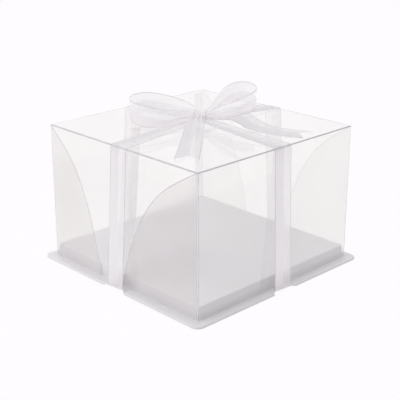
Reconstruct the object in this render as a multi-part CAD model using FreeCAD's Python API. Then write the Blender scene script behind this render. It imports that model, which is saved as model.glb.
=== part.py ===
import FreeCAD, Part
import math
import os

from FreeCAD import Placement, Rotation, Vector

# A clear cake box: a white formed tray, a folded clear cover and a ribbon tied round both in a bow.
# Millimetres. The origin is the middle of the tray's foot, +Z is up and the front wall faces -Y.

# Cover
cover_side = 240.0
cover_height = 159.5
sheet = 0.5
fold_radius = 1.2
crease_width = 0.8
crease_depth = 0.15
seam_width = 14.0
seam_end_margin = 3.0

# Creases of the front and back walls: where the left and the right one end on the foot, as shares of the wall
# from their own top corners, how far they bow above straight lines, and how far past the foot they are scored
front_crease_end_shares = (0.35, 0.5)
back_crease_end_shares = (0.35, 0.42)
crease_bow_share = 0.57
crease_past_foot_share = 0.02
crease_runs = 8

# Tray
tray_wall = 0.8
flange_reach = 11.0
flange_corner_radius = 9.0
flange_edge_radius = 1.2
lip_depth = 2.5
deck_rise = 14.5
deck_gap = 0.6
deck_draft = 1.2
deck_corner_radius = 2.5
deck_edge_radius = 1.5
relief_height = 1.6
relief_side_gap = 2.0
relief_corner_radius = 1.0

# Ribbon
ribbon_width = 25.0
ribbon_thickness = 0.4
ribbon_gap = 0.3
crossing_gap = 0.1

# How far the ribbon's two runs round the box lie off its middle: the run round front and back to the right,
# and the run round right and left to the back, at the top and at the foot
front_run_offset = 1.3
side_run_top_offset = 3.7
side_run_foot_offset = -1.8

# Knot, and the straps where they reach it
knot_length = 13.0
knot_width = 16.0
knot_height = 11.0
knot_edge_radius = 2.5
knot_middle_height = 11.0
strap_knot_width = 16.0
strap_knot_rise = 6.0

# Bow: turns about the upright axis, in degrees from +X
bow_turn = 46.0
front_tail_turn = -49.0
right_tail_turn = 25.7

# Loops: each row of shares holds a place along the loop and the heights of the ribbon's upper and lower
# edges there, in ribbon widths from the knot's middle, for the run nearest the front and the one behind
loop_start = 3.0
loop_start_half = 1.6
left_loop_length = 79.0
left_loop_end_radius = 20.0
left_front_shares = (
    (0, 0.12, -0.12),
    (0.25, 0.33, -0.08),
    (0.56, 0.48, -0.31),
    (0.8, 0.65, -0.32),
    (1, 0.8, -0.14),
)
left_back_shares = (
    (0, 0.16, -0.08),
    (0.13, 0.5, -0.08),
    (0.25, 0.62, -0.12),
    (0.6, 0.84, -0.04),
    (1, 0.8, -0.14),
)
right_loop_length = 63.0
right_loop_end_radius = 17.0
right_front_shares = (
    (0, 0.12, -0.12),
    (0.35, 0.55, -0.03),
    (0.54, 0.76, 0.09),
    (0.8, 1.07, 0.25),
    (1, 1.24, 0.44),
)
right_back_shares = (
    (0, 0.16, -0.08),
    (0.25, 0.62, 0.12),
    (0.44, 1.16, 0.36),
    (0.6, 1.34, 0.46),
    (1, 1.24, 0.44),
)

# Tails: each row of shares is a control point of a curve from the knot to the cut end, with its place
# along the tail's reach, its place to the left in reaches, its height in rises and its width in ribbon widths
tail_rise = 8.0
tail_notch_depth = 11.0
front_tail_reach = 133.0
front_tail_shares = (
    (0.02, 0, 0.66, 0.6),
    (0.1, 0, 0.45, 1),
    (0.2, 0, 0, 1),
    (1, 0, 0, 1),
)
right_tail_reach = 124.0
right_tail_shares = (
    (0.04, 0.02, 0.85, 0.5),
    (0.32, 0.14, 1.2, 1),
    (0.4, -0.04, 0, 1),
    (1, 0, 0, 1),
)

# How far cutting bodies run past what they cut
overrun = 2.0

# Sizes that follow
cover_half = cover_side / 2
cover_top = lip_depth + cover_height
tray_half = cover_half + flange_reach
deck_top = lip_depth + deck_rise
deck_foot_half = cover_half - sheet - deck_gap
strap_top_half = cover_half + ribbon_gap
strap_top = cover_top + ribbon_gap
strap_foot_half = tray_half + 2 * ribbon_gap
up = Vector(0, 0, 1)

# Each strap's offsets at the top edge and at the lip, to the right as seen from outside its wall
strap_offsets = {
    "front": (front_run_offset, front_run_offset),
    "right": (side_run_top_offset, side_run_foot_offset),
    "back": (-front_run_offset, -front_run_offset),
    "left": (-side_run_top_offset, -side_run_foot_offset),
}


def rounded_square(half, radius, z):
    """Closed wire of a square with round corners at height z."""
    straight = half - radius
    bulge = straight + radius * math.sqrt(0.5)
    edges = []
    for quarter in range(4):
        turn = Rotation(up, 90 * quarter)
        start, middle, end, after = [
            turn.multVec(Vector(x, y, z))
            for x, y in ((half, straight), (bulge, bulge), (straight, half), (-straight, half))
        ]
        edges.append(Part.Arc(start, middle, end).toShape())
        edges.append(Part.LineSegment(end, after).toShape())
    return Part.Wire(edges)


def prism(wire, direction):
    """Solid made by moving the face inside a closed flat wire along a direction."""
    return Part.Face(wire).extrude(direction)


def polygon(points):
    """Closed wire through points."""
    return Part.makePolygon(list(points) + [points[0]])


def spun(shape, quarter):
    """Copy of a shape turned by quarter turns about the upright axis."""
    return shape.rotated(Vector(0, 0, 0), up, 90 * quarter)


def edges_at(shape, z, least_reach):
    """Edges that lie at height z and reach at least so far from the middle on X or Y."""
    chosen = []
    for edge in shape.Edges:
        box = edge.BoundBox
        reach = max(abs(box.XMin), abs(box.XMax), abs(box.YMin), abs(box.YMax))
        level = box.ZLength < edge.Length / 1000 and abs(box.ZMin - z) < edge.Length / 1000
        if level and reach >= least_reach:
            chosen.append(edge)
    return chosen


def formed_body(inset, foot):
    """Flange block and tapered deck, pulled in all round and lowered by an inset."""
    flange = prism(
        rounded_square(tray_half - inset, flange_corner_radius - inset, foot),
        up * (lip_depth - inset - foot),
    )
    deck_foot = rounded_square(deck_foot_half - inset, deck_corner_radius - inset, lip_depth - inset)
    deck_head = rounded_square(
        deck_foot_half - deck_draft - inset, deck_corner_radius - inset, deck_top - inset
    )
    return flange.fuse(Part.makeLoft([deck_foot, deck_head], True, True)).removeSplitter()


def make_tray():
    """Thin formed tray: deck, flange and lip, with a relief in each lip where a strap goes under."""
    outside = formed_body(0, 0)
    outside = outside.makeFillet(deck_edge_radius, edges_at(outside, deck_top, 0))
    outside = outside.makeFillet(flange_edge_radius, edges_at(outside, lip_depth, cover_half))
    tray = outside.cut(formed_body(tray_wall, -overrun))
    relief_width = ribbon_width + 2 * relief_side_gap
    relief_depth = flange_edge_radius + tray_wall + overrun
    relief = Part.makeBox(
        relief_width,
        relief_depth,
        relief_height + overrun,
        Vector(-relief_width / 2, overrun - tray_half - relief_depth, -overrun),
    )
    shoulders = [
        edge
        for edge in relief.Edges
        if edge.BoundBox.YLength > edge.BoundBox.XLength and edge.BoundBox.ZMin > 0
    ]
    relief = relief.makeFillet(relief_corner_radius, shoulders)
    for quarter, (top_offset, foot_offset) in enumerate(strap_offsets.values()):
        tray = tray.cut(spun(relief.translated(Vector(foot_offset, 0, 0)), quarter))
    return tray


def folded_box(inset):
    """Box with round upright and top edges, pulled in by an inset from the cover's outside."""
    half = cover_half - inset
    box = Part.makeBox(2 * half, 2 * half, cover_height - inset, Vector(-half, -half, lip_depth))
    folds = [edge for edge in box.Edges if edge.BoundBox.ZMax > lip_depth + overrun]
    return box.makeFillet(fold_radius - inset, folds)


def crease_points(end_share, side):
    """Points of the front wall's left (-1) or right (1) crease, from its top corner to below the foot."""
    points = []
    for step in range(crease_runs + 1):
        share = (1 + crease_past_foot_share) * step / crease_runs
        drop_share = (1 - crease_bow_share) * share + crease_bow_share * share**4
        x = side * (cover_half - share * end_share * cover_side)
        points.append(Vector(x, -cover_half, cover_top - drop_share * cover_height))
    return points


def crease_cutter(points):
    """V-shaped bar that scores a line through points into the front wall."""
    outward = Vector(0, -1, 0)
    flare = crease_width / 2 * (1 + overrun / crease_depth)
    sections = []
    for before, point, after in zip(points[:1] + points, points, points[1:] + points[-1:]):
        across = (after - before).normalize().cross(outward) * flare
        mouth = point + outward * overrun
        sections.append(polygon([mouth + across, mouth - across, point - outward * crease_depth]))
    return Part.makeLoft(sections, True, True)


def make_cover():
    """Folded clear sheet with the gusset creases of its front and back walls."""
    cover = folded_box(0).cut(folded_box(sheet))
    for index, side in enumerate((-1, 1)):
        front = crease_cutter(crease_points(front_crease_end_shares[index], side))
        back = crease_cutter(crease_points(back_crease_end_shares[index], side))
        cover = cover.cut([front, back.mirror(Vector(0, 0, 0), Vector(0, 1, 0))])
    return cover


def make_seam_tab():
    """Glue lap on the inside of the left wall, beside the back edge."""
    height = cover_height - fold_radius - 2 * seam_end_margin
    corner = Vector(
        sheet - cover_half, cover_half - fold_radius - seam_width, lip_depth + seam_end_margin
    )
    return Part.makeBox(sheet, seam_width, height, corner)


def make_wall_strap(top_offset, foot_offset):
    """Taut run down the front wall, from the top edge to the tray's lip."""
    sections = []
    for offset, reach, z in (
        (top_offset, strap_top_half, strap_top),
        (foot_offset, strap_foot_half, relief_height),
    ):
        left = Vector(offset - ribbon_width / 2, -reach, z)
        right = Vector(offset + ribbon_width / 2, -reach, z)
        outward = Vector(0, -ribbon_thickness, 0)
        sections.append(polygon([left, right, right + outward, left + outward]))
    return Part.makeLoft(sections, True, True)


def make_top_strap(offset):
    """Taut run over the top from the front edge, gathered where it rises to the knot."""
    outer = strap_top_half + ribbon_thickness
    corners = (
        Vector(offset - ribbon_width / 2, -outer, strap_top),
        Vector(offset + ribbon_width / 2, -outer, strap_top),
        Vector(strap_knot_width / 2, -strap_knot_width / 2, cover_top + strap_knot_rise),
        Vector(-strap_knot_width / 2, -strap_knot_width / 2, cover_top + strap_knot_rise),
    )
    return prism(polygon(corners), up * ribbon_thickness)


def make_under_strap(offset, dip):
    """Run along Y under the tray, which dips in its middle to pass under the other."""
    ends = strap_foot_half + ribbon_thickness
    level = ribbon_width / 2 + crossing_gap + abs(side_run_foot_offset)
    places = ((-ends, 0), (-level, -dip), (level, -dip), (ends, 0))
    upper = [Vector(offset - ribbon_width / 2, y, relief_height + z) for y, z in places]
    lower = [point - up * ribbon_thickness for point in reversed(upper)]
    return prism(polygon(upper + lower), Vector(ribbon_width, 0, 0))


def make_knot():
    """Rounded oval roll that lies along the bow."""
    oval = Part.Ellipse(Vector(0, 0, 0), knot_width / 2, knot_height / 2).toShape()
    roll = prism(Part.Wire([oval]), up * knot_length)
    roll.translate(-up * (knot_length / 2))
    rims = [edge for edge in roll.Edges if edge.BoundBox.ZLength < knot_edge_radius]
    roll = roll.makeFillet(knot_edge_radius, rims)
    lying = Rotation(Vector(0, 1, 0), Vector(0, 0, 1), Vector(1, 0, 0), "ZXY")
    turned = Rotation(up, bow_turn).multiply(lying)
    roll.Placement = Placement(up * (cover_top + knot_middle_height), turned)
    return roll


def teardrop_edges(length, end_radius, inset):
    """Edges of a loop seen along the ribbon's width, from one leg's start round to the other's."""
    radius = end_radius - inset
    middle = length - end_radius
    start_half = loop_start_half - inset
    run = middle - loop_start
    rise = radius - start_half
    leg_radius = (run * run + rise * rise) / (2 * rise)
    half_turn = math.asin(run / leg_radius) / 2
    halfway = Vector(
        middle - leg_radius * math.sin(half_turn),
        radius - leg_radius * (1 - math.cos(half_turn)),
        0,
    )
    start = Vector(loop_start, start_half, 0)
    shoulder = Vector(middle, radius, 0)
    tip = Vector(middle + radius, 0, 0)
    bulge = Vector(middle + radius * math.sqrt(0.5), radius * math.sqrt(0.5), 0)
    arcs = [Part.Arc(start, halfway, shoulder), Part.Arc(shoulder, bulge, tip)]
    one_side = [arc.toShape() for arc in arcs]
    other_side = [edge.mirror(Vector(0, 0, 0), Vector(0, 1, 0)) for edge in one_side]
    return one_side + other_side


def make_loop(length, end_radius, turn, left_hand_shares, right_hand_shares):
    """Upright band of ribbon bent into a teardrop, whose two runs each rise from the knot.

    The left-hand run is the one on the left when looking out from the knot."""
    edges = teardrop_edges(length, end_radius, 0)
    edges += teardrop_edges(length, end_radius, ribbon_thickness)
    for side in (-1, 1):
        outside = Vector(loop_start, side * loop_start_half, 0)
        inside = Vector(loop_start, side * (loop_start_half - ribbon_thickness), 0)
        edges.append(Part.LineSegment(outside, inside).toShape())
    band = prism(Part.Wire(Part.__sortEdges__(edges)), up * (4 * ribbon_width))
    band.translate(-up * (2 * ribbon_width))
    runs = []
    for shares, side in ((left_hand_shares, 1), (right_hand_shares, -1)):
        rows = [(along * length, top * ribbon_width, foot * ribbon_width) for along, top, foot in shares]
        rows.append((length + overrun,) + rows[-1][1:])
        upper_edge = [Vector(x, 0, top) for x, top, foot in rows]
        lower_edge = [Vector(x, 0, foot) for x, top, foot in reversed(rows)]
        reach = Vector(0, side * (end_radius + overrun), 0)
        runs.append(band.common(prism(polygon(upper_edge + lower_edge), reach)))
    loop = runs[0].fuse(runs[1]).removeSplitter()
    loop.Placement = Placement(up * (cover_top + knot_middle_height), Rotation(up, turn))
    return loop


def make_tail(reach, turn, shares):
    """Loose end that curves down from the knot, lies on the top and ends in a V cut."""
    left = []
    right = []
    for along, aside, height, width in shares:
        middle = Vector(along * reach, aside * reach, height * tail_rise)
        half = Vector(0, width * ribbon_width / 2, 0)
        left.append(middle + half)
        right.append(middle - half)
    edges = []
    for points in (left, right):
        curve = Part.BezierCurve()
        curve.setPoles(points)
        edges.append(curve.toShape())
    tail = Part.makeRuledSurface(*edges).extrude(up * ribbon_thickness)
    apex = (left[-1] + right[-1]) / 2 - Vector(tail_notch_depth, 0, 0)
    notch = prism(polygon([left[-1], apex, right[-1]]), up * (2 * overrun))
    notch.translate(-up * overrun)
    tail = tail.cut(notch)
    tail.Placement = Placement(up * strap_top, Rotation(up, turn))
    return tail


def make_parts():
    """Every piece of the box by name."""
    knot = make_knot()
    left_loop = make_loop(
        left_loop_length, left_loop_end_radius, bow_turn + 180, left_front_shares, left_back_shares
    )
    right_loop = make_loop(
        right_loop_length, right_loop_end_radius, bow_turn, right_back_shares, right_front_shares
    )
    parts = {
        "base_tray": make_tray(),
        "cover_sheet": make_cover(),
        "seam_tab": make_seam_tab(),
        "under_strap_x": spun(make_under_strap(side_run_foot_offset, 0), 1),
        "under_strap_y": make_under_strap(front_run_offset, ribbon_thickness + crossing_gap),
        "bow_knot": knot,
        "bow_loop_left": left_loop.cut(knot),
        "bow_loop_right": right_loop.cut(knot),
        "bow_tail_front": make_tail(front_tail_reach, front_tail_turn, front_tail_shares).cut(knot),
        "bow_tail_right": make_tail(right_tail_reach, right_tail_turn, right_tail_shares).cut(knot),
    }
    for quarter, (side, (top_offset, foot_offset)) in enumerate(strap_offsets.items()):
        parts["wall_strap_" + side] = spun(make_wall_strap(top_offset, foot_offset), quarter)
        parts["top_strap_" + side] = spun(make_top_strap(top_offset), quarter).cut(knot)
    return parts


os.makedirs("parts", exist_ok=True)
for name, shape in make_parts().items():
    print(name, "solids", len(shape.Solids), "valid", shape.isValid(), "volume", round(shape.Volume, 2))
    shape.exportStep("parts/" + name + ".step")
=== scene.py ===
import math

import bmesh
import bpy
from mathutils import Matrix, Vector
from mathutils.geometry import interpolate_bezier


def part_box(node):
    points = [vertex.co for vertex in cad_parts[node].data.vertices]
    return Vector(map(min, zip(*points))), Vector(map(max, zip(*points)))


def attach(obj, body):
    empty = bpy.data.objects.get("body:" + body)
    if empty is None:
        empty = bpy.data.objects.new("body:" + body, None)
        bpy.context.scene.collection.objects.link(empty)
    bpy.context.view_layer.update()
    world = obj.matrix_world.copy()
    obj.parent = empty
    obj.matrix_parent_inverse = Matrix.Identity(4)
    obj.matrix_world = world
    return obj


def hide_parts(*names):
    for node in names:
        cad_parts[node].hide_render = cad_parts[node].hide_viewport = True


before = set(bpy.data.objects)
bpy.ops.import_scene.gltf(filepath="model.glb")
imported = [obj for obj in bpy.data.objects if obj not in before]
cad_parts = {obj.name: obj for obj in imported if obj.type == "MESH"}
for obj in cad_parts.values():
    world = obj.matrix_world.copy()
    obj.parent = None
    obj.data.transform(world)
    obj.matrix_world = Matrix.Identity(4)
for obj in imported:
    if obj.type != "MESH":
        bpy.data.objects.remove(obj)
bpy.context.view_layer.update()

# A clear cake box: a white formed tray, a folded clear cover and a ribbon tied round both in a bow.
# Metres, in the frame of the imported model. Small sizes are written in millimetres times MM, and the tables
# of the bow's rows in millimetres.
MM = 0.001

# Sizes that come from the frame
cover_low, cover_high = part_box("cover_sheet")
tray_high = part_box("base_tray")[1]
strap_low, strap_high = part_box("wall_strap_front")
knot_low, knot_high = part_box("bow_knot")
cover_half = cover_high.x
cover_foot = cover_low.z
cover_top = cover_high.z
tray_half = tray_high.x
ribbon_width = strap_high.x - strap_low.x
knot_middle = (knot_low + knot_high) / 2
knot_half_height = (knot_high.z - knot_low.z) / 2

# Cover, and the parts of a face's normal from which the face counts as square to an axis or leaning to it
sheet_thickness = 0.5 * MM
fold_radius = 1.2 * MM
fold_steps = 3
square_part = 0.99
leaning_part = 0.1

# Creases of the front (-1) and back (1) walls: where the left and right ones end on the foot, as shares of
# the wall from their own top corners, half the width of a crease, and how it steepens on its way down
crease_end_shares = {-1: (0.35, 0.5), 1: (0.35, 0.42)}
crease_half_widths = {-1: 0.4 * MM, 1: 0.16 * MM}
crease_bow_share = 0.57
crease_bow_power = 4
crease_runs = 8

# Ribbon
ribbon_thickness = 0.3 * MM
ribbon_step = 2.2 * MM
ribbon_columns = 16
ribbon_smooth_angle = math.radians(50)
samples_between_rows = 24
strap_clearance = 0.45 * MM

# Each strap's offsets from its wall's middle at the top edge and at the lip, to the right seen from outside
front_run_offset = 1.3 * MM
side_run_top_offset = 3.7 * MM
side_run_foot_offset = -1.8 * MM
strap_offsets = {
    "front": (front_run_offset, front_run_offset),
    "right": (side_run_top_offset, side_run_foot_offset),
    "back": (-front_run_offset, -front_run_offset),
    "left": (-side_run_top_offset, -side_run_foot_offset),
}
sides = list(strap_offsets)

# Tray, whose rim each tight strap pulls in and up: a little at one edge of the strap, with a slow fall beside
# it, and more at the other edge, with a quick fall beside it, to the right (1) or left (-1)
tray_wall = 0.8 * MM
flange_top = cover_foot
flange_corner_radius = 9 * MM
flange_edge_radius = 1.2 * MM
deck_top = tray_high.z
deck_foot_half = cover_half - 1.1 * MM
deck_draft = 1.2 * MM
deck_corner_radius = 2.5 * MM
deck_foot_radius = 0.8 * MM
deck_edge_radius = 1.5 * MM
rim_draw = 1.2 * MM
slow_lift = 1.2 * MM
slow_fall = 11 * MM
quick_lift = 2.9 * MM
quick_fall = 0.8 * MM
quick_hands = {"front": 1, "right": -1, "back": 1, "left": -1}
strap_turn_reach = -strap_low.y - ribbon_thickness / 2 - rim_draw
straight_steps = 240
corner_steps = 8
side_steps = straight_steps + corner_steps
outline_steps = 4 * side_steps
arc_steps = 4
flange_ring_shares = (0.3, 0.6, 0.85)
merge_distance = 0.01 * MM
tray_smooth_angle = math.radians(40)

# Bow
bow_turn = math.radians(46)
tail_notch = 11 * MM

# Camera, fitted to the photograph's edges
eye = Vector((0.7471, -0.7235, 0.4568))
target = Vector((-0.0222, 0.0207, 0.0605))
lens_mm = 86.2
sensor_mm = 36.0


def select_none():
    """Nothing selected and no object in edit mode."""
    if bpy.context.object and bpy.context.object.mode != "OBJECT":
        bpy.ops.object.mode_set(mode="OBJECT")
    bpy.ops.object.select_all(action="DESELECT")


def named(name):
    """The object that was just added, under its own name."""
    piece = bpy.context.object
    piece.name = name
    piece.data.name = name
    return piece


def pick(piece, kind, test):
    """Selects in edit mode the faces or edges of a piece that pass a test."""
    mesh = bmesh.from_edit_mesh(piece.data)
    bpy.ops.mesh.select_mode(type={"faces": "FACE", "edges": "EDGE"}[kind])
    bpy.ops.mesh.select_all(action="DESELECT")
    for item in getattr(mesh, kind):
        if test(item):
            item.select_set(True)
    bmesh.update_edit_mesh(piece.data)


def thicken(piece, thickness, offset):
    """Gives a sheet its thickness for good."""
    modifier = piece.modifiers.new("thickness", "SOLIDIFY")
    modifier.thickness = thickness
    modifier.offset = offset
    modifier.use_even_offset = True
    bpy.ops.object.modifier_apply(modifier=modifier.name)


# Materials


def to_linear(code):
    """Linear colour of an sRGB hex code."""
    colour = []
    for place in (1, 3, 5):
        part = int(code[place:place + 2], 16) / 255
        colour.append(part / 12.92 if part <= 0.04045 else ((part + 0.055) / 1.055) ** 2.4)
    return (*colour, 1)


def add_node(tree, kind, inputs, **settings):
    """One shader node with its settings, each input set to a value or linked to an output.

    Inputs go by their names, or by their numbers on a node where several share a name."""
    node = tree.nodes.new(kind)
    for name, value in settings.items():
        setattr(node, name, value)
    for socket, value in inputs.items():
        if isinstance(value, bpy.types.NodeSocket):
            tree.links.new(value, node.inputs[socket])
        else:
            node.inputs[socket].default_value = value
    return node


def new_material(name):
    """Empty node material and its tree."""
    material = bpy.data.materials.new(name)
    material.use_nodes = True
    material.node_tree.nodes.clear()
    return material, material.node_tree


def make_pet(name, tint, smudge, clearness, roughness):
    """Clear PET sheet, extruded and folded: glassy, with the faint ripples of the rollers and thin smudges.

    Lamps and the light that other pieces throw back go straight through it, so that the inside is lit."""
    ripple_size = 35 * MM
    ripple_depth = 0.05 * MM
    smudge_size = 60 * MM
    gloss_spread = 0.4
    material, tree = new_material(name)
    place = add_node(tree, "ShaderNodeTexCoord", {}).outputs["Object"]
    ripple = add_node(tree, "ShaderNodeTexNoise", {"Vector": place, "Scale": 1 / ripple_size, "Detail": 1.0})
    bump = add_node(
        tree, "ShaderNodeBump", {"Height": ripple.outputs[0], "Distance": ripple_depth, "Strength": 0.5}
    )
    cloud = add_node(tree, "ShaderNodeTexNoise", {"Vector": place, "Scale": 1 / smudge_size, "Detail": 3.0})
    colour = add_node(
        tree,
        "ShaderNodeMix",
        {0: cloud.outputs[0], 6: to_linear(tint), 7: to_linear(smudge)},
        data_type="RGBA",
    )
    gloss = add_node(
        tree,
        "ShaderNodeMapRange",
        {
            "Value": cloud.outputs[0],
            "To Min": roughness * (1 - gloss_spread),
            "To Max": roughness * (1 + gloss_spread),
        },
    )
    sheet = add_node(
        tree,
        "ShaderNodeBsdfPrincipled",
        {
            "Base Color": colour.outputs[2],
            "Roughness": gloss.outputs[0],
            "Normal": bump.outputs[0],
            "IOR": 1.57,
            "Transmission Weight": clearness,
        },
    )
    through = add_node(tree, "ShaderNodeBsdfTransparent", {"Color": (clearness, clearness, clearness, 1)})
    path = add_node(tree, "ShaderNodeLightPath", {})
    straight = add_node(
        tree,
        "ShaderNodeMath",
        {0: path.outputs["Is Shadow Ray"], 1: path.outputs["Is Diffuse Ray"]},
        operation="ADD",
        use_clamp=True,
    )
    both = add_node(
        tree, "ShaderNodeMixShader", {0: straight.outputs[0], 1: sheet.outputs[0], 2: through.outputs[0]}
    )
    add_node(tree, "ShaderNodeOutputMaterial", {"Surface": both.outputs[0]})
    return material


def make_soft_fold():
    """Soft fold of the PET sheet: too narrow to bend the light going through it, under a thin milky veil."""
    veil_size = 8 * MM
    milk_white = to_linear("#fcfbfd")
    material, tree = new_material("pet_fold_soft")
    place = add_node(tree, "ShaderNodeTexCoord", {}).outputs["Object"]
    cloud = add_node(tree, "ShaderNodeTexNoise", {"Vector": place, "Scale": 1 / veil_size, "Detail": 2.0})
    veil = add_node(tree, "ShaderNodeMapRange", {"Value": cloud.outputs[0], "To Min": 0.4, "To Max": 0.6})
    lit_side = add_node(tree, "ShaderNodeBsdfDiffuse", {"Color": milk_white})
    far_side = add_node(tree, "ShaderNodeBsdfTranslucent", {"Color": milk_white})
    milk = add_node(tree, "ShaderNodeMixShader", {0: 0.5, 1: lit_side.outputs[0], 2: far_side.outputs[0]})
    through = add_node(tree, "ShaderNodeBsdfTransparent", {})
    both = add_node(
        tree, "ShaderNodeMixShader", {0: veil.outputs[0], 1: through.outputs[0], 2: milk.outputs[0]}
    )
    add_node(tree, "ShaderNodeOutputMaterial", {"Surface": both.outputs[0]})
    return material


def make_polystyrene():
    """White polystyrene, vacuum formed: satin skin, a faint orange peel, greyer where it was drawn thin."""
    peel_size = 1.6 * MM
    peel_depth = 0.02 * MM
    thin_size = 90 * MM
    material, tree = new_material("polystyrene_vacuum_formed")
    place = add_node(tree, "ShaderNodeTexCoord", {}).outputs["Object"]
    peel = add_node(tree, "ShaderNodeTexNoise", {"Vector": place, "Scale": 1 / peel_size, "Detail": 2.0})
    bump = add_node(
        tree, "ShaderNodeBump", {"Height": peel.outputs[0], "Distance": peel_depth, "Strength": 0.6}
    )
    thin = add_node(tree, "ShaderNodeTexNoise", {"Vector": place, "Scale": 1 / thin_size, "Detail": 2.0})
    colour = add_node(
        tree,
        "ShaderNodeMix",
        {0: thin.outputs[0], 6: to_linear("#dad9db"), 7: to_linear("#cfcdd0")},
        data_type="RGBA",
    )
    gloss = add_node(
        tree, "ShaderNodeMapRange", {"Value": peel.outputs[0], "To Min": 0.34, "To Max": 0.5}
    )
    skin = add_node(
        tree,
        "ShaderNodeBsdfPrincipled",
        {
            "Base Color": colour.outputs[2],
            "Roughness": gloss.outputs[0],
            "Normal": bump.outputs[0],
            "IOR": 1.59,
        },
    )
    add_node(tree, "ShaderNodeOutputMaterial", {"Surface": skin.outputs[0]})
    return material


def ribbon_zones(tree, uv):
    """Masks across the ribbon: its sheer half, which isn't satin, and the selvedges along both its edges."""
    satin_share = 0.54
    blur_share = 0.01
    selvedge_share = 0.02
    selvedge_fade_share = 0.035
    across = add_node(tree, "ShaderNodeSeparateXYZ", {0: uv}).outputs[0]
    from_middle = add_node(tree, "ShaderNodeMath", {0: across, 1: 0.5}, operation="SUBTRACT").outputs[0]
    to_edge = add_node(tree, "ShaderNodeMath", {0: from_middle}, operation="ABSOLUTE").outputs[0]
    sheer = add_node(
        tree,
        "ShaderNodeMapRange",
        {"Value": across, "From Min": satin_share - blur_share, "From Max": satin_share + blur_share},
    ).outputs[0]
    selvedge = add_node(
        tree,
        "ShaderNodeMapRange",
        {"Value": to_edge, "From Min": 0.5 - selvedge_fade_share, "From Max": 0.5 - selvedge_share},
    ).outputs[0]
    return sheer, selvedge


def ribbon_threads(tree, uv):
    """Waves of the warp threads, which run along the ribbon, and of the weft threads, which run across it.

    Real threads of 0.15 mm are too fine to show, so they are drawn 1.2 mm apart."""
    thread_share = 1.2 * MM / ribbon_width
    wave_at_scale_one = 2 * math.pi / 20
    return [
        add_node(
            tree,
            "ShaderNodeTexWave",
            {"Vector": uv, "Scale": wave_at_scale_one / thread_share, "Distortion": wobble, "Detail": 1.0},
            bands_direction=direction,
        ).outputs[1]
        for direction, wobble in (("X", 0.6), ("Y", 0.8))
    ]


def ribbon_cover(tree, sheer, selvedge, warp, weft):
    """How much the threads cover: nearly all in the satin half, and far less in the sheer one.

    Light meets the thin solid once, on the side where it comes in, as it meets one layer of cloth."""
    shadow_share = 0.65
    satin_cover = add_node(tree, "ShaderNodeMapRange", {"Value": warp, "To Min": 0.86, "To Max": 0.96})
    sheer_cover = add_node(tree, "ShaderNodeMapRange", {"Value": weft, "To Min": 0.5, "To Max": 0.7})
    half_cover = add_node(
        tree, "ShaderNodeMix", {0: sheer, 2: satin_cover.outputs[0], 3: sheer_cover.outputs[0]}
    ).outputs[0]
    woven_cover = add_node(tree, "ShaderNodeMix", {0: selvedge, 2: half_cover, 3: 0.95}).outputs[0]
    behind = add_node(tree, "ShaderNodeNewGeometry", {}).outputs["Backfacing"]
    front_cover = add_node(
        tree, "ShaderNodeMapRange", {"Value": behind, "To Min": woven_cover, "To Max": 0.0}
    ).outputs[0]
    shadow = add_node(tree, "ShaderNodeLightPath", {}).outputs["Is Shadow Ray"]
    kept = add_node(
        tree, "ShaderNodeMapRange", {"Value": shadow, "To Min": 1.0, "To Max": shadow_share}
    ).outputs[0]
    return add_node(tree, "ShaderNodeMath", {0: front_cover, 1: kept}, operation="MULTIPLY").outputs[0]


def make_ribbon_cloth():
    """Polyester ribbon, woven half in satin and half in organza: one half is dense with a soft sheen, the
    other lets the light through, and a fine selvedge edges both.

    U runs across the ribbon and V along it, in ribbon widths."""
    weave_depth = 0.06 * MM
    material, tree = new_material("polyester_ribbon_satin_and_organza")
    uv = add_node(tree, "ShaderNodeUVMap", {}, uv_map="UVMap").outputs[0]
    sheer, selvedge = ribbon_zones(tree, uv)
    warp, weft = ribbon_threads(tree, uv)
    cover = ribbon_cover(tree, sheer, selvedge, warp, weft)
    half_colour = add_node(
        tree,
        "ShaderNodeMix",
        {0: sheer, 6: to_linear("#f7f5f7"), 7: to_linear("#fdfcfd")},
        data_type="RGBA",
    ).outputs[2]
    colour = add_node(
        tree,
        "ShaderNodeMix",
        {0: selvedge, 6: half_colour, 7: to_linear("#d9d7d9")},
        data_type="RGBA",
    ).outputs[2]
    weave = add_node(tree, "ShaderNodeMix", {0: sheer, 2: warp, 3: weft}).outputs[0]
    bump = add_node(
        tree, "ShaderNodeBump", {"Height": weave, "Distance": weave_depth, "Strength": 0.5}
    ).outputs[0]
    gloss = add_node(tree, "ShaderNodeMapRange", {"Value": sheer, "To Min": 0.38, "To Max": 0.6}).outputs[0]
    thread = add_node(
        tree,
        "ShaderNodeBsdfPrincipled",
        {
            "Base Color": colour,
            "Roughness": gloss,
            "Normal": bump,
            "Sheen Weight": 0.2,
            "Sheen Roughness": 0.4,
        },
    )
    glow = add_node(tree, "ShaderNodeBsdfTranslucent", {"Color": colour, "Normal": bump})
    glow_share = add_node(tree, "ShaderNodeMapRange", {"Value": sheer, "To Min": 0.55, "To Max": 0.5})
    cloth = add_node(
        tree, "ShaderNodeMixShader", {0: glow_share.outputs[0], 1: thread.outputs[0], 2: glow.outputs[0]}
    )
    gaps = add_node(tree, "ShaderNodeBsdfTransparent", {})
    woven = add_node(tree, "ShaderNodeMixShader", {0: cover, 1: gaps.outputs[0], 2: cloth.outputs[0]})
    add_node(tree, "ShaderNodeOutputMaterial", {"Surface": woven.outputs[0]})
    return material


# Ribbon


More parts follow.
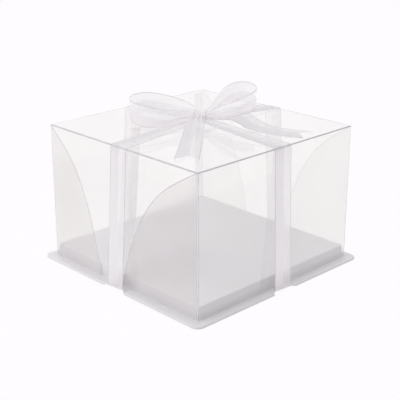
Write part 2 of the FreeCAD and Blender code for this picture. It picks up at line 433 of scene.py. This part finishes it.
def smooth_edge(points, spans):
    """Close points on a smooth curve through points, which lie the given spans apart."""
    slopes = [(points[1] - points[0]) / spans[0]]
    for index in range(1, len(spans)):
        slopes.append((points[index + 1] - points[index - 1]) / (spans[index - 1] + spans[index]))
    slopes.append((points[-1] - points[-2]) / spans[-1])
    curve = []
    for index, span in enumerate(spans):
        start, end = points[index:index + 2]
        leaving = start + slopes[index] * span / 3
        coming = end - slopes[index + 1] * span / 3
        curve += interpolate_bezier(start, leaving, coming, end, samples_between_rows)[:-1]
    return curve + [points[-1]]


def smooth_path(rows):
    """Close steps of smooth curves through rows of edge points: distance along and the two edge points."""
    middles = [(satin + sheer) / 2 for satin, sheer in rows]
    spans = [(end - start).length for start, end in zip(middles, middles[1:])]
    edges = [smooth_edge([row[edge] for row in rows], spans) for edge in (0, 1)]
    path = []
    distance = 0.0
    for satin, sheer in zip(*edges):
        if path:
            distance += ((satin + sheer) / 2 - (path[-1][1] + path[-1][2]) / 2).length
        path.append((distance, satin, sheer))
    return path


def edges_on(path, distance):
    """The two edge points at a distance along a path."""
    for (start, satin, sheer), (end, next_satin, next_sheer) in zip(path, path[1:]):
        if distance <= end:
            share = (distance - start) / (end - start)
            return satin.lerp(next_satin, share), sheer.lerp(next_sheer, share)
    return path[-1][1], path[-1][2]


def ribbon_point(path, distance, across, crown, pleats, pleat_share):
    """Point of a ribbon that is crowned across its width, and pleated where it is drawn in."""
    satin, sheer = edges_on(path, distance)
    before = sum(edges_on(path, distance - ribbon_thickness), Vector())
    after = sum(edges_on(path, distance + ribbon_thickness), Vector())
    width = (sheer - satin).length
    outward = (after - before).cross(sheer - satin).normalized()
    drawn_in = max(ribbon_width / width - 1, 0)
    depth = pleat_share * width / (math.pi * pleats) * math.sqrt(drawn_in)
    wave = math.sin(2 * math.pi * pleats * across)
    bulge = crown * (1 - (2 * across - 1) ** 2)
    return satin.lerp(sheer, across) + outward * (bulge + depth * wave)


def add_ribbon(name, rows, crown=0.0, pleats=2, pleat_share=0.4, notch=0.0):
    """Strip of ribbon along rows of edge points, satin edge first, its end cut in a V as deep as a notch."""
    path = smooth_path(rows)
    length = path[-1][0]
    select_none()
    bpy.ops.mesh.primitive_grid_add(
        x_subdivisions=ribbon_columns, y_subdivisions=round(length / ribbon_step), size=1
    )
    piece = named(name)
    places = []
    for vertex in piece.data.vertices:
        across = vertex.co.x + 0.5
        share = vertex.co.y + 0.5
        distance = share * (length - notch * (1 - abs(2 * across - 1)))
        places.append((across, distance))
        vertex.co = ribbon_point(path, distance, across, crown, pleats, pleat_share)
    uv_map = piece.data.uv_layers.active.data
    for loop in piece.data.loops:
        across, distance = places[loop.vertex_index]
        uv_map[loop.index].uv = (across, distance / ribbon_width)
    thicken(piece, ribbon_thickness, offset=0)
    bpy.ops.object.shade_smooth_by_angle(angle=ribbon_smooth_angle)
    piece.data.materials.append(ribbon_cloth)
    return piece, length


def bow_point(right, back, height):
    """Place of a point given in millimetres to the right of the knot, behind it and above the cover."""
    flat = Matrix.Rotation(bow_turn, 3, "Z") @ Vector((right, back, 0))
    return flat * MM + Vector((0, 0, cover_top + height * MM))


def rim_pull(side, aside):
    """Share of a strap's pull on the rim, and the rim's lift, at a distance to the right of its middle."""
    toward_quick = aside * quick_hands[side] / ribbon_width
    fall = quick_fall if toward_quick > 0 else slow_fall
    beyond = max(abs(aside) - ribbon_width / 2, 0)
    share = max(1 - beyond / fall, 0)
    share = share * share * (3 - 2 * share)
    quick_share = min(max(toward_quick + 0.5, 0), 1)
    return share, share * (slow_lift + (quick_lift - slow_lift) * quick_share)


def foot_heights(side):
    """Heights at which the left and right edges of a strap, seen from outside, turn under the lifted rim."""
    return [strap_low.z + rim_pull(side, sign * ribbon_width / 2)[1] for sign in (-1, 1)]


def turned_rows(places, quarter):
    """Rows of edge points of a strap, turned by quarters from the front to its own side.

    A place holds its offset to the right, its reach, the heights of its two edges and half its width."""
    turn = Matrix.Rotation(math.radians(90) * quarter, 3, "Z")
    rows = []
    for offset, reach, (left, right), half_width in places:
        ends = ((offset - half_width, left), (offset + half_width, right))
        rows.append([turn @ Vector((aside, -reach, height)) for aside, height in ends])
    return rows


def make_strap(side, quarter):
    """Run of ribbon from the knot over the top's edge and down a wall to the tray's lip."""
    top_offset, foot_offset = strap_offsets[side]
    edge = cover_half + strap_clearance
    lid = cover_top + strap_clearance
    feet = foot_heights(side)
    knot_reach = 5 * MM
    knot_rise = 6.4 * MM
    knot_half_width = 8 * MM
    bend = 2 * MM
    half = ribbon_width / 2
    top_reaches = (knot_reach, 20 * MM, 60 * MM, edge - 3 * bend, edge - bend)
    wall_shares = (bend / lid, 3 * bend / lid, 0.3, 0.65, 1)

    def top_row(reach):
        share = (reach - knot_reach) / (edge - knot_reach)
        half_width = knot_half_width + (half - knot_half_width) * share
        height = lid + knot_rise * (1 - share)
        return top_offset * share, reach, (height, height), half_width

    def wall_row(share):
        offset = top_offset + (foot_offset - top_offset) * share
        reach = edge + (strap_turn_reach - edge) * share
        return offset, reach, [lid + (foot - lid) * share for foot in feet], half

    places = [top_row(reach) for reach in top_reaches] + [wall_row(share) for share in wall_shares]
    piece, length = add_ribbon("ribbon_" + side, turned_rows(places, quarter), pleat_share=0.25)
    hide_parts("wall_strap_" + side, "top_strap_" + side)
    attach(piece, "ribbon")


def make_under_strap(axis, quarter, offset, dip):
    """Run of ribbon under the tray, from lip to lip. The lower run dips where it crosses the other one."""
    tuck = 0.5 * MM
    level = strap_low.z - ribbon_thickness
    half = ribbon_width / 2
    crossing = half + abs(side_run_foot_offset) + tuck

    def end_places(side, hand):
        feet = foot_heights(side)[::hand]
        turned = [foot - ribbon_thickness for foot in feet]
        ends = [(strap_turn_reach, feet), (strap_turn_reach - tuck, turned)]
        ends += [(cover_half, (level, level)), (crossing, (level - dip, level - dip))]
        return [(offset, hand * reach, heights, half) for reach, heights in ends]

    places = end_places(sides[quarter], 1) + end_places(sides[quarter + 2], -1)[::-1]
    piece, length = add_ribbon("ribbon_under_" + axis, turned_rows(places, quarter))
    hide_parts("under_strap_" + axis)
    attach(piece, "tray")


def make_knot():
    """Band of ribbon drawn in and wrapped once round the bow's middle."""
    half_depth = 7.2 * MM
    half_length = 6.6 * MM
    pleat_room = 1 * MM
    half_height = knot_half_height - pleat_room
    lean = 1.2 * MM
    start_degrees = 200
    steps = 12
    rows = []
    for step in range(steps + 1):
        angle = math.radians(start_degrees + 360 * step / steps)
        slant = lean * math.sin(angle)
        back = half_depth * math.sin(angle) / MM
        height = (knot_middle.z - cover_top + half_height * math.cos(angle)) / MM
        rows.append([bow_point((sign * half_length + slant) / MM, back, height) for sign in (-1, 1)])
    piece, length = add_ribbon("bow_knot_wrap", rows, crown=-0.5 * MM, pleats=2.5, pleat_share=0.78)
    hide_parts("bow_knot")
    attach(piece, "ribbon")


def make_loop(side, table):
    """Loop of the bow, whose lower edge leans back. A row holds its place right of and behind the knot, and
    the heights of its upper and lower edges as they look from the front, in millimetres."""
    most_lean = 5
    full_lean_reach = 30
    sight_slope = 0.37
    rows = []
    for right, back, top, low in table:
        lean = most_lean * min(abs(right) / full_lean_reach, 1)
        rows.append([bow_point(right, back + lean, low - sight_slope * lean), bow_point(right, back, top)])
    piece, length = add_ribbon("bow_" + side + "_loop", rows, crown=0.6 * MM, pleat_share=0.45)
    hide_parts("bow_loop_" + side)
    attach(piece, "ribbon")


def make_tail(side, table, end_slant=0):
    """Loose end of the ribbon. A row holds its place on the top, its height, half its width and its banking,
    in millimetres. The cut end's sheer edge runs on past its middle by the slant."""
    rows = []
    for index, (x, y, height, half_width, bank) in enumerate(table):
        nearby = table[max(index - 1, 0)], table[min(index + 1, len(table) - 1)]
        heading = Vector((nearby[1][0] - nearby[0][0], nearby[1][1] - nearby[0][1], 0)).normalized()
        left = Vector((-heading.y, heading.x, 0)) * half_width + Vector((0, 0, bank))
        if index == len(table) - 1:
            left += heading * end_slant
        middle = Vector((x, y, height + cover_top / MM))
        rows.append([(middle - left) * MM, (middle + left) * MM])
    piece, length = add_ribbon(
        "bow_" + side + "_tail", rows, crown=0.5 * MM, pleat_share=0.3, notch=tail_notch
    )
    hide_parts("bow_tail_" + side)
    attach(piece, "ribbon")


def make_bow():
    """Knot, two loops and two tails."""
    make_knot()
    make_loop(
        "left",
        (
            (-3, 1, 14, 8),
            (-10, 5, 22.5, 9),
            (-21, 10, 26.6, 6.5),
            (-40, 18, 30.2, 8.4),
            (-61, 20, 32.8, 11),
            (-75, 11, 32.6, 10),
            (-79, 0, 30.4, 7.6),
            (-73, -12.5, 28.6, 5.4),
            (-60, -19.5, 26.9, 2.8),
            (-45, -19, 23, 2.8),
            (-32, -15, 20.3, 5),
            (-20, -9, 18.5, 8.4),
            (-10, -5, 15, 8),
            (-3, -1, 13, 8),
        ),
    )
    make_loop(
        "right",
        (
            (3, 1, 14, 8),
            (10, 3, 19.5, 10.5),
            (18, 7, 29.5, 15),
            (27, 13.5, 39.5, 21),
            (36, 17, 43.8, 23),
            (48, 16, 46, 23.2),
            (58, 8.5, 45.5, 23),
            (62.5, -1, 42.2, 21.9),
            (57, -10, 39.5, 18.6),
            (47, -15, 36, 16.4),
            (35, -15, 30.2, 13.6),
            (23, -10, 25, 10.6),
            (12, -5, 18.5, 8.6),
            (3, -1, 13, 8),
        ),
    )
    make_tail(
        "front",
        (
            (-0.2, -2.8, 8.6, 7, 0),
            (3.2, -9.1, 8.8, 9, 0),
            (7.5, -14.6, 8.4, 10, 0),
            (12.7, -20.7, 7.2, 10.3, 0),
            (18.6, -27.5, 5.4, 10.6, 0),
            (36.4, -47.8, 1.8, 11.3, 0.2),
            (59.9, -73.8, 0.8, 12, 0),
            (76.6, -92.4, 0.9, 12.4, -0.3),
            (84.3, -101, 1, 12.5, -0.3),
        ),
    )
    make_tail(
        "right",
        (
            (3, 2, 8.5, 5, 0),
            (13, 12.5, 10.5, 8.5, 2),
            (24, 25, 13.5, 11.5, 5),
            (35, 31.5, 9.5, 12, 4),
            (46, 34.5, 4.4, 12.3, 2.5),
            (57, 36, 2, 12.5, 1.2),
            (72, 38, 1.2, 12.5, 0.6),
            (90, 44, 0.9, 12.5, 0.4),
            (104, 50.5, 0.8, 12.5, 0.3),
            (111.5, 54.5, 0.7, 12.5, 0),
        ),
        end_slant=3,
    )


# Tray


def outline_point(half, radius, place):
    """Point of a square with round corners as its own side lies in front, and the number of that side.

    Places are counted in steps from the left end of the front edge."""
    quarter, step = divmod(place, side_steps)
    straight = half - radius
    if step <= straight_steps:
        local = Vector((straight * (2 * step / straight_steps - 1), -half, 0))
    else:
        angle = math.radians(90) * ((step - straight_steps) / corner_steps - 1)
        local = Vector((straight + radius * math.cos(angle), radius * math.sin(angle) - straight, 0))
    return local, quarter


def tray_profile():
    """Rings of the tray from the lip's lower rim to the deck's top: half a side, corner radius and height."""

    def arc(half, radius, height, bend, start, end):
        for step in range(arc_steps + 1):
            angle = math.radians(start + (end - start) * step / arc_steps)
            reach = half + bend * math.cos(angle)
            yield reach, radius + reach - half, height + bend * math.sin(angle)

    flange_half = tray_half - flange_edge_radius
    foot_half = deck_foot_half + deck_foot_radius
    edge_half = deck_foot_half - deck_draft - deck_edge_radius
    rings = [(tray_half, flange_corner_radius, 0.0)]
    rings += arc(
        flange_half,
        flange_corner_radius - flange_edge_radius,
        flange_top - flange_edge_radius,
        flange_edge_radius,
        start=0,
        end=90,
    )
    for share in flange_ring_shares:
        half = flange_half + (cover_half - flange_half) * share
        rings.append((half, flange_corner_radius + half - tray_half, flange_top))
    rings += arc(
        foot_half,
        deck_corner_radius,
        flange_top + deck_foot_radius,
        deck_foot_radius,
        start=270,
        end=180,
    )
    rings += arc(
        edge_half,
        deck_corner_radius - deck_edge_radius,
        deck_top - deck_edge_radius,
        deck_edge_radius,
        start=0,
        end=90,
    )
    return rings


def make_tray():
    """Thin formed tray: a raised deck inside a flange with a turned-down lip, pulled up at each strap."""
    rings = tray_profile()
    select_none()
    bpy.ops.mesh.primitive_grid_add(x_subdivisions=outline_steps, y_subdivisions=len(rings) - 1, size=1)
    piece = named("formed_tray")
    for vertex in piece.data.vertices:
        place = round((vertex.co.x + 0.5) * outline_steps) % outline_steps
        half, radius, height = rings[round((vertex.co.y + 0.5) * (len(rings) - 1))]
        local, quarter = outline_point(half, radius, place)
        side = sides[quarter]
        pulled, lift = rim_pull(side, local.x - strap_offsets[side][1])
        rim_share = min(max((-local.y - cover_half) / (tray_half - cover_half), 0), 1)
        local.y += rim_draw * pulled * rim_share**2
        crushed = max(strap_low.z - height, 0) * pulled
        local.z = height + crushed + lift * rim_share**2
        vertex.co = Matrix.Rotation(math.radians(90) * quarter, 3, "Z") @ local
    bpy.ops.object.mode_set(mode="EDIT")
    bpy.ops.mesh.select_all(action="SELECT")
    bpy.ops.mesh.remove_doubles(threshold=merge_distance)
    pick(piece, "edges", lambda edge: edge.is_boundary and edge.verts[0].co.z > deck_top - merge_distance)
    bpy.ops.mesh.edge_face_add()
    bpy.ops.mesh.select_all(action="SELECT")
    bpy.ops.mesh.normals_make_consistent(inside=False)
    bpy.ops.object.mode_set(mode="OBJECT")
    thicken(piece, tray_wall, offset=-1)
    bpy.ops.object.shade_smooth_by_angle(angle=tray_smooth_angle)
    piece.data.materials.append(tray_plastic)
    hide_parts("base_tray")
    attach(piece, "tray")


# Cover


def crease_line(end_share, hand):
    """Points of a wall's left (-1) or right (1) crease, from its top corner to the foot."""
    line = []
    for step in range(crease_runs + 1):
        share = step / crease_runs
        drop_share = (1 - crease_bow_share) * share + crease_bow_share * share**crease_bow_power
        x = hand * cover_half * (1 - 2 * share * end_share)
        line.append(Vector((x, 0, cover_top - drop_share * (cover_top - cover_foot))))
    return line


def score_wall(piece, side, line):
    """Cuts a crease of the front (-1) or back (1) wall as a narrow strip, one straight run at a time."""
    half_width = crease_half_widths[side]
    for start, end in zip(line, line[1:]):
        along = (end - start).normalized()
        across = Vector((-along.z, 0, along.x))
        left, right = sorted((start.x, end.x))
        cuts = [(end, Vector((1, 0, 0)), -cover_half, cover_half)]
        cuts += [(start + across * offset, across, left, right) for offset in (-half_width, half_width)]
        for place, normal, least, most in cuts:
            pick(
                piece,
                "faces",
                lambda face: face.normal.y * side > square_part
                and least < face.calc_center_median().x < most,
            )
            bpy.ops.mesh.bisect(plane_co=place, plane_no=normal)


def below_crease(line, place):
    """How far a place on a wall lies below a crease, square to it, or None beside the crease's ends."""
    for start, end in zip(line, line[1:]):
        if min(start.x, end.x) < place.x < max(start.x, end.x):
            along = (end - start).normalized()
            level = start.z + (place.x - start.x) * along.z / along.x
            return (level - place.z) * abs(along.x)
    return None


def is_flat(face):
    """Whether a face of the cover lies square to an axis, and so isn't in a rounded fold."""
    return max(abs(part) for part in face.normal) > square_part


def cover_finish(face, creases):
    """Finish of a face of the cover: clear, cloudy and grey with painted shade at a camera-side fold of the
    top or at a crease, darker and a little rougher below a crease, or softly folded.

    The folds with painted shade are the top's front and right ones."""
    clear, folded, dim_gusset, faint_gusset, soft_fold = range(5)
    if not is_flat(face):
        outward = face.normal.y < -leaning_part or face.normal.x > leaning_part
        # The top's front and right folds, on the camera's side, get the grey painted shade; the rest fold
        # softly
        return folded if outward and face.normal.z > leaning_part else soft_fold
    if abs(face.normal.y) < square_part:
        return clear
    side = round(face.normal.y)
    for line in creases[side]:
        below = below_crease(line, face.center)
        # A crease gets the same grey painted shade
        if below is not None and abs(below) < crease_half_widths[side]:
            return folded
        # Below a crease the sheet is a little darker and rougher, more on the front wall than the back
        if below is not None and below > 0:
            return dim_gusset if side < 0 else faint_gusset
    return clear


def make_cover():
    """Folded clear sheet, open below, with the gusset creases of its front and back walls."""
    height = cover_top - cover_foot
    select_none()
    bpy.ops.mesh.primitive_cube_add(
        size=1,
        location=(0, 0, cover_foot + height / 2),
        scale=(2 * cover_half, 2 * cover_half, height),
    )
    piece = named("clear_cover")
    bpy.ops.object.transform_apply(location=True, rotation=True, scale=True)
    bpy.ops.object.mode_set(mode="EDIT")
    pick(piece, "faces", lambda face: face.normal.z < -square_part)
    bpy.ops.mesh.delete(type="ONLY_FACE")
    pick(piece, "edges", lambda edge: not edge.is_boundary)
    bpy.ops.mesh.bevel(offset=fold_radius, segments=fold_steps, affect="EDGES")
    creases = {}
    for side, end_shares in crease_end_shares.items():
        creases[side] = [crease_line(share, hand) for share, hand in zip(end_shares, (-1, 1))]
        for line in creases[side]:
            score_wall(piece, side, line)
    bpy.ops.object.mode_set(mode="OBJECT")
    for material in (clear_pet, shaded_fold_pet, dim_gusset_pet, faint_gusset_pet, soft_fold_pet):
        piece.data.materials.append(material)
    for face in piece.data.polygons:
        face.material_index = cover_finish(face, creases)
        face.use_smooth = not is_flat(face)
    thicken(piece, sheet_thickness, offset=-1)
    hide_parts("cover_sheet")
    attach(piece, "cover")


def make_seam_tab():
    """Glue lap of the cover's sheet on its back wall, at the left upright edge: clear, with milky edges.

    The corners of its free side are cut off."""
    corner_cut = 3 * MM
    low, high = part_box("seam_tab")
    middle = (low + high) / 2
    select_none()
    bpy.ops.mesh.primitive_cube_add(size=1, location=middle, scale=high - low)
    piece = named("cover_seam_tab")
    bpy.ops.object.transform_apply(location=True, rotation=True, scale=True)
    bpy.ops.object.mode_set(mode="EDIT")
    pick(
        piece,
        "edges",
        lambda edge: all(vertex.co.x > middle.x for vertex in edge.verts)
        and edge.verts[0].co.y != edge.verts[1].co.y,
    )
    bpy.ops.mesh.bevel(offset=corner_cut, segments=1, affect="EDGES")
    bpy.ops.object.mode_set(mode="OBJECT")
    for material in (clear_pet, soft_fold_pet):
        piece.data.materials.append(material)
    for face in piece.data.polygons:
        face.material_index = 0 if abs(face.normal.y) > square_part else 1
    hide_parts("seam_tab")
    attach(piece, "cover")


# Stage


studio_white = to_linear("#fffdff")


def seen_rays(tree):
    """1 for rays from the camera and those that a reflection or the clear sheet sends on, and else 0."""
    path = add_node(tree, "ShaderNodeLightPath", {})
    direct = add_node(
        tree,
        "ShaderNodeMath",
        {0: path.outputs["Is Camera Ray"], 1: path.outputs["Is Glossy Ray"]},
        operation="ADD",
    )
    return add_node(
        tree,
        "ShaderNodeMath",
        {0: direct.outputs[0], 1: path.outputs["Is Transmission Ray"]},
        operation="ADD",
        use_clamp=True,
    ).outputs[0]


def make_floor():
    """Pale paper under the box. Seen directly or through the cover it is near white, and it keeps shadows."""
    floor_size = 14
    white_share = 0.96
    select_none()
    bpy.ops.mesh.primitive_plane_add(size=floor_size)
    floor = named("floor")
    material, tree = new_material("floor_paper_white")
    share = add_node(tree, "ShaderNodeMapRange", {"Value": seen_rays(tree), "To Max": white_share})
    paper = add_node(tree, "ShaderNodeBsdfDiffuse", {"Color": to_linear("#e2e1e3")})
    white = add_node(tree, "ShaderNodeEmission", {"Color": studio_white})
    both = add_node(
        tree, "ShaderNodeMixShader", {0: share.outputs[0], 1: paper.outputs[0], 2: white.outputs[0]}
    )
    add_node(tree, "ShaderNodeOutputMaterial", {"Surface": both.outputs[0]})
    floor.data.materials.append(material)


def make_world(fill):
    """Even soft light from all round, which looks white where it is seen."""
    world = bpy.data.worlds.new("studio")
    world.use_nodes = True
    tree = world.node_tree
    tree.nodes.clear()
    strength = add_node(tree, "ShaderNodeMapRange", {"Value": seen_rays(tree), "To Min": fill, "To Max": 1.0})
    sky = add_node(tree, "ShaderNodeBackground", {"Color": studio_white, "Strength": strength.outputs[0]})
    add_node(tree, "ShaderNodeOutputWorld", {"Surface": sky.outputs[0]})
    bpy.context.scene.world = world


def add_lamp(name, place, size, power):
    """Square soft lamp that faces the middle of the box and leaves no glare on the clear sheet."""
    lamp = bpy.data.lights.new(name, "AREA")
    lamp.size = size
    lamp.energy = power
    holder = bpy.data.objects.new(name, lamp)
    holder.location = place
    holder.rotation_euler = (target - Vector(place)).to_track_quat("-Z", "Y").to_euler()
    holder.visible_glossy = False
    holder.visible_transmission = False
    bpy.context.scene.collection.objects.link(holder)


def add_camera():
    """Camera at the photograph's viewing angle."""
    camera = bpy.data.cameras.new("camera")
    camera.lens = lens_mm
    camera.sensor_width = sensor_mm
    holder = bpy.data.objects.new("camera", camera)
    holder.location = eye
    holder.rotation_euler = (target - eye).to_track_quat("-Z", "Y").to_euler()
    bpy.context.scene.collection.objects.link(holder)
    bpy.context.scene.camera = holder


clear_pet = make_pet("pet_sheet_clear", "#fdfdfc", "#faf9f8", clearness=1.0, roughness=0.03)
# Camera-side folds and creases: cloudy, with grey painted shade for the dark lines that these folds show
shaded_fold_pet = make_pet("pet_fold_cloudy_with_painted_shade", "#d8d5d9", "#cbc8cd", clearness=0.45, roughness=0.35)
# Below the creases: a little darker and rougher than the clear sheet, more on the front wall than the back
dim_gusset_pet = make_pet("pet_gusset_dimmed", "#f7f5f4", "#f2f0ef", clearness=0.985, roughness=0.12)
faint_gusset_pet = make_pet("pet_gusset_faintly_dimmed", "#f9f8f7", "#f4f3f2", clearness=0.99, roughness=0.07)
soft_fold_pet = make_soft_fold()
tray_plastic = make_polystyrene()
ribbon_cloth = make_ribbon_cloth()

make_tray()
make_cover()
make_seam_tab()
for quarter, side in enumerate(sides):
    make_strap(side, quarter)
make_under_strap("y", quarter=0, offset=front_run_offset, dip=0.5 * MM)
make_under_strap("x", quarter=1, offset=side_run_foot_offset, dip=0.0)
make_bow()

make_floor()
make_world(fill=0.8)
add_lamp("key", place=(-0.9, -1.8, 1.4), size=2.2, power=23)
add_lamp("top", place=(-0.3, 0.2, 2.2), size=1.6, power=9.5)
add_camera()
bpy.context.scene.view_settings.view_transform = "Standard"
